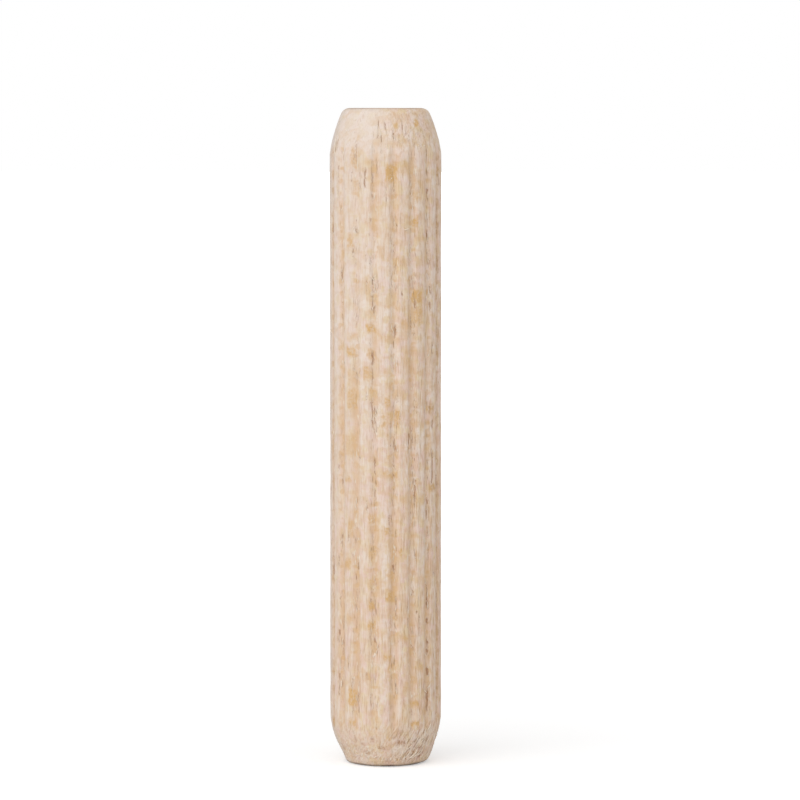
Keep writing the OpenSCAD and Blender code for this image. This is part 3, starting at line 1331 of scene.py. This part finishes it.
    def tears(self, ground: Ground) -> tuple[Socket, Socket]:
        """Lay out the torn ends: dark gaps, mostly at the right, between pale flakes that lean with the cut.
        The gaps are partly torn hollows and partly painted shade between the flakes.

        Args:
            ground: Coordinates and marks.

        Returns:
            The strength of the gaps with their painted shade, and of the flakes.
        """
        nodes = ground.nodes
        torn = ground.marks["torn"]
        across, _, height = nodes.split(ground.place)
        shift = nodes.add("ShaderNodeCombineXYZ", {0: nodes.times(height, -0.55)}).outputs[0]
        leaning = nodes.cloud(nodes.vector("ADD", ground.place, shift), (0.105, 0.20, 0.55), 2.0, 0.55)
        # dark gaps: torn hollows with painted shade between the flakes
        gaps_and_shade = nodes.times(nodes.ramp(leaning, 0.46, 0.34), torn)
        gaps_and_shade = nodes.times(gaps_and_shade, nodes.ramp(across, -0.4, 1.5, 0.16, 0.72))
        return gaps_and_shade, nodes.times(nodes.ramp(leaning, 0.53, 0.64, 0.0, 0.75), torn)

    def crumb_pits(self, ground: Ground) -> Socket:
        """Lay out the brown pits that crumbs have left.

        Args:
            ground: Coordinates and marks.

        Returns:
            The pits' strength.
        """
        nodes = ground.nodes
        ragged = nodes.cloud(ground.place, (0.12, 0.12, 0.09), 2.0, 0.6)
        return nodes.times(ground.marks["pit"], nodes.ramp(ragged, 0.40, 0.54, 0.25, 0.95))

    def dark_rims_and_floor_shade(self, ground: Ground) -> Socket:
        """Lay out the dark line round each end face, patchy and fainter at the upper one. At the lower end it
        is painted shade where the pin's rim meets the floor.

        Args:
            ground: Coordinates and marks.

        Returns:
            The line's strength.
        """
        nodes = ground.nodes
        height = nodes.split(ground.place)[2]
        # the lower line: painted shade where the rim meets the floor
        lower = nodes.ramp(height, 0.05, 0.20, 1.0, 0.0)
        upper = nodes.ramp(height, self.end_height - 0.09, self.end_height - 0.02, 0.0, 0.5)
        patchy = nodes.ramp(nodes.cloud(ground.place, (1.2, 1.2, 1.2)), 0.35, 0.6, 0.55, 1.0)
        return nodes.times(nodes.math("ADD", lower, upper), patchy)

    def end_face(self, ground: Ground) -> Socket:
        """Lay out the sawn ends: growth rings, rays along X and the open ends of the pores.

        Args:
            ground: Coordinates and marks.

        Returns:
            The colour's socket.
        """
        nodes = ground.nodes
        ring = nodes.cloud(ground.place, (0.4, 5.0, 40.0), 1.0)
        ray = nodes.cloud(ground.place, (2.4, 0.07, 40.0), 1.0)
        dots = nodes.cloud(ground.place, (0.06, 0.06, 40.0), 0.0)
        sawn = nodes.coat(
            self.tan,
            (nodes.ramp(ring, 0.35, 0.65), self.honey),
            (nodes.ramp(ray, 0.58, 0.68, 0.0, 0.6), self.cream),
            (nodes.ramp(dots, 0.60, 0.72, 0.0, 0.6), self.pore),
        )
        return nodes.mix(1.0, sawn, self.end_tint, "MULTIPLY")

    def relief(self, ground: Ground, pores: Socket, raised: Socket, sunk: Socket) -> Socket:
        """Bump the surface with fine grain, rougher where it is torn.

        Args:
            ground: Coordinates and marks.
            pores: Strength of the pores.
            raised: Strength of what stands up.
            sunk: Strength of what lies deep.

        Returns:
            The bumped normal.
        """
        nodes = ground.nodes
        fine = nodes.cloud(ground.grain, (0.07, 0.07, 0.26), 2.0, 0.6)
        height = nodes.math("SUBTRACT", fine, nodes.times(pores, self.pore_sinking))
        height = nodes.math("ADD", height, nodes.times(raised, self.shred_rising))
        height = nodes.math("SUBTRACT", height, sunk)
        rough = nodes.cloud(ground.place, (0.09, 0.09, 0.12), 2.0, 0.6)
        rough = nodes.times(rough, nodes.ramp(ground.marks["torn"], 0.0, 1.0, 0.35, 1.2))
        height = nodes.math("ADD", height, rough)
        inputs = {"Strength": self.bump_strength, "Distance": self.bump_height, "Height": height}
        return nodes.add("ShaderNodeBump", inputs).outputs[0]

    def build(self) -> bpy.types.Material:
        """Lay out the material.

        Returns:
            The finished material.
        """
        material, nodes = new_material("raw_beech")
        ground = Ground.lay(nodes)
        pores = self.pores(ground)
        shreds = self.shreds(ground)
        lip_highlights, cracks = self.cracks(ground)
        gaps_and_shade, flakes = self.tears(ground)
        colour = nodes.coat(
            self.wood(ground),
            # darker flutes: their own tone and painted shade in the grooves
            (self.flute_tinge_and_shade(ground), self.honey),
            self.flecks(ground),
            (pores, self.pore),
            (shreds, self.shred),
            # pale lips by the cracks: torn fibre with a painted highlight
            (lip_highlights, self.shred),
            (cracks, self.fissure),
            # dark gaps between the flakes, partly painted shade
            (gaps_and_shade, self.pore),
            (flakes, self.shred),
            (self.crumb_pits(ground), self.fissure),
            # dark end lines, painted shade at the lower rim
            (self.dark_rims_and_floor_shade(ground), self.rim),
            (ground.marks["sawn"], self.end_face(ground)),
        )
        raised = nodes.math("ADD", shreds, flakes)
        sunk = nodes.math("ADD", cracks, gaps_and_shade)
        nodes.dress(
            {
                "Base Color": colour,
                "Roughness": self.roughness,
                "Specular IOR Level": self.specular,
                "Sheen Weight": self.sheen,
                "Sheen Roughness": self.sheen_roughness,
                "Normal": self.relief(ground, pores, raised, sunk),
            }
        )
        return material


@dataclass(frozen=True)
class FibreFinish:
    """Freshly torn fibre: paler than the surface that it left, streaked along its length."""

    pale: Colour = (0.86, 0.76, 0.645, 1.0)
    tan: Colour = (0.79, 0.64, 0.49, 1.0)
    roughness: float = 0.7
    specular: float = 0.35

    def build(self) -> bpy.types.Material:
        """Lay out the material.

        Returns:
            The finished material.
        """
        material, nodes = new_material("torn_fibre")
        tone = nodes.cloud(nodes.object_places(), (0.08 * MM, 0.08 * MM, 0.3 * MM))
        colour = nodes.mix(nodes.ramp(tone, 0.35, 0.65), self.pale, self.tan)
        nodes.dress({"Base Color": colour, "Roughness": self.roughness, "Specular IOR Level": self.specular})
        return material


@dataclass
class Studio:
    """White floor and surround, a soft lamp, and the camera at the height of the pin's upper end.

    The rows and the column are pixels of a square picture, counted from its upper left corner.
    """

    pin_length: float
    foot_radius: float = 2.0 * MM
    eye_distance: float = 215.0 * MM
    eye_turn: float = math.radians(1.2)
    picture_size: float = 800.0
    top_row: float = 107.9
    foot_row: float = 766.6
    axis_column: float = 385.6
    sensor: float = 36.0
    near_clip: float = 0.01
    far_clip: float = 10.0
    lamp_place: tuple[float, float, float] = (-0.27, -0.37, 0.30)
    lamp_size: float = 0.60
    lamp_power: float = 1.2
    floor_size: float = 4.0
    floor_grey: Colour = (0.8, 0.8, 0.8, 1.0)
    glow_start: float = 8.0 * MM
    glow_reach: float = 120.0 * MM
    glow_near: float = 0.40
    glow_far: float = 0.90
    surround_white: Colour = (1.0, 1.0, 1.0, 1.0)
    fill_front: float = 0.82
    fill_back: float = 0.50

    def camera(self) -> bpy.types.Object:
        """Place the camera level with the upper end, so that the pin spans its rows of the picture.

        The pitch and the focal length are worked out from both rows: the upper end face is seen edge on, at
        the eye's height, and the foot of the pin, nearer by its radius, is seen at its own row.

        Returns:
            The scene's camera.
        """
        middle = self.picture_size / 2
        ratio = (middle - self.top_row) / (self.foot_row - middle)
        drop = self.pin_length / (self.eye_distance - self.foot_radius)
        root = math.sqrt((1 + ratio) ** 2 + 4 * ratio * drop**2)
        pitch = math.atan((root - 1 - ratio) / (2 * drop))
        focal = (middle - self.top_row) / math.tan(pitch)
        aside = (middle - self.axis_column) / focal * self.eye_distance
        data = bpy.data.cameras.new("camera")
        data.sensor_width = self.sensor
        data.lens = focal / self.picture_size * self.sensor
        data.clip_start = self.near_clip
        data.clip_end = self.far_clip
        camera = bpy.data.objects.new("camera", data)
        bpy.context.collection.objects.link(camera)
        turn = Matrix.Rotation(self.eye_turn, 4, "Z")
        camera.location = turn @ Vector((aside, -self.eye_distance, self.pin_length))
        camera.rotation_euler = (math.pi / 2 - pitch, 0.0, self.eye_turn)
        bpy.context.scene.camera = camera
        return camera

    def lamp(self) -> bpy.types.Object:
        """Add a square soft lamp that faces the middle of the pin.

        Returns:
            The lamp.
        """
        data = bpy.data.lights.new("key", "AREA")
        data.size = self.lamp_size
        data.energy = self.lamp_power
        lamp = bpy.data.objects.new("key", data)
        bpy.context.collection.objects.link(lamp)
        lamp.location = self.lamp_place
        aim = Vector((0.0, 0.0, self.pin_length / 2)) - Vector(self.lamp_place)
        lamp.rotation_euler = aim.to_track_quat("-Z", "Y").to_euler()
        return lamp

    def seen(self, nodes: Nodes) -> Socket:
        """Tell whether a ray shows the background: from the camera, a reflection or through glass.

        Args:
            nodes: The node tree being laid out.

        Returns:
            A socket that is 1 for such a ray.
        """
        path = nodes.add("ShaderNodeLightPath").outputs
        either = nodes.math("MAXIMUM", path["Is Camera Ray"], path["Is Glossy Ray"])
        return nodes.math("MAXIMUM", either, path["Is Transmission Ray"])

    def surround(self) -> None:
        """Make the world white to the eye and a soft fill for the object, stronger in front."""
        world = bpy.data.worlds.new("surround")
        world.use_nodes = True
        bpy.context.scene.world = world
        nodes = Nodes(world.node_tree)
        towards = nodes.add("ShaderNodeTexCoord").outputs["Generated"]
        fill = nodes.ramp(nodes.split(towards)[1], -0.7, 0.7, self.fill_front, self.fill_back)
        strength = nodes.math("MAXIMUM", fill, self.seen(nodes))
        white = nodes.add("ShaderNodeBackground", {"Color": self.surround_white, "Strength": strength})
        nodes.add("ShaderNodeOutputWorld", {"Surface": white.outputs[0]})

    def floor(self) -> bpy.types.Object:
        """Lay a pale floor that reads as white and keeps a soft shadow.

        Returns:
            The floor.
        """
        bpy.ops.object.select_all(action="DESELECT")
        bpy.ops.mesh.primitive_plane_add(size=self.floor_size, location=(0.0, 0.0, 0.0))
        floor = bpy.context.object
        floor.name = "floor"
        material, nodes = new_material("floor_white")
        matt = nodes.add("ShaderNodeBsdfDiffuse", {"Color": self.floor_grey}).outputs[0]
        away = nodes.length(nodes.object_places())
        level = nodes.ramp(away, self.glow_start, self.glow_reach, self.glow_near, self.glow_far)
        strength = nodes.times(self.seen(nodes), level)
        glow = nodes.add("ShaderNodeEmission", {"Strength": strength}).outputs[0]
        both = nodes.add("ShaderNodeAddShader", {0: matt, 1: glow}).outputs[0]
        nodes.add("ShaderNodeOutputMaterial", {"Surface": both})
        floor.data.materials.append(material)
        return floor

    def build(self) -> None:
        """Set up the camera, the surround, the floor and the lamp."""
        self.camera()
        self.surround()
        self.floor()
        self.lamp()
        bpy.context.scene.view_settings.view_transform = "Standard"


def keep(piece: bpy.types.Object, material: bpy.types.Material) -> None:
    """Dress a finished piece, tie it to the pin's body and report it.

    Args:
        piece: The piece, at its place.
        material: Its finish.
    """
    piece.data.materials.append(material)
    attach(piece, BODY)
    LOG.info("%s: %d faces", piece.name, len(piece.data.polygons))


def main() -> None:
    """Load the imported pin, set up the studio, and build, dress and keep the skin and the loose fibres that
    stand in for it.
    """
    logging.basicConfig(level=logging.INFO, format="%(message)s")
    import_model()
    low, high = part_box(NODE)
    Studio(pin_length=high.z - low.z).build()
    shape = PinShape(radius=(high.y - low.y) / 2, length=high.z - low.z)
    skin = PinSkin(shape).build()
    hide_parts(NODE)
    keep(skin, BeechFinish(end_height=shape.length / MM).build())
    keep(LooseFibres(skin, shape).build(), FibreFinish().build())


if __name__ == "__main__":
    main()
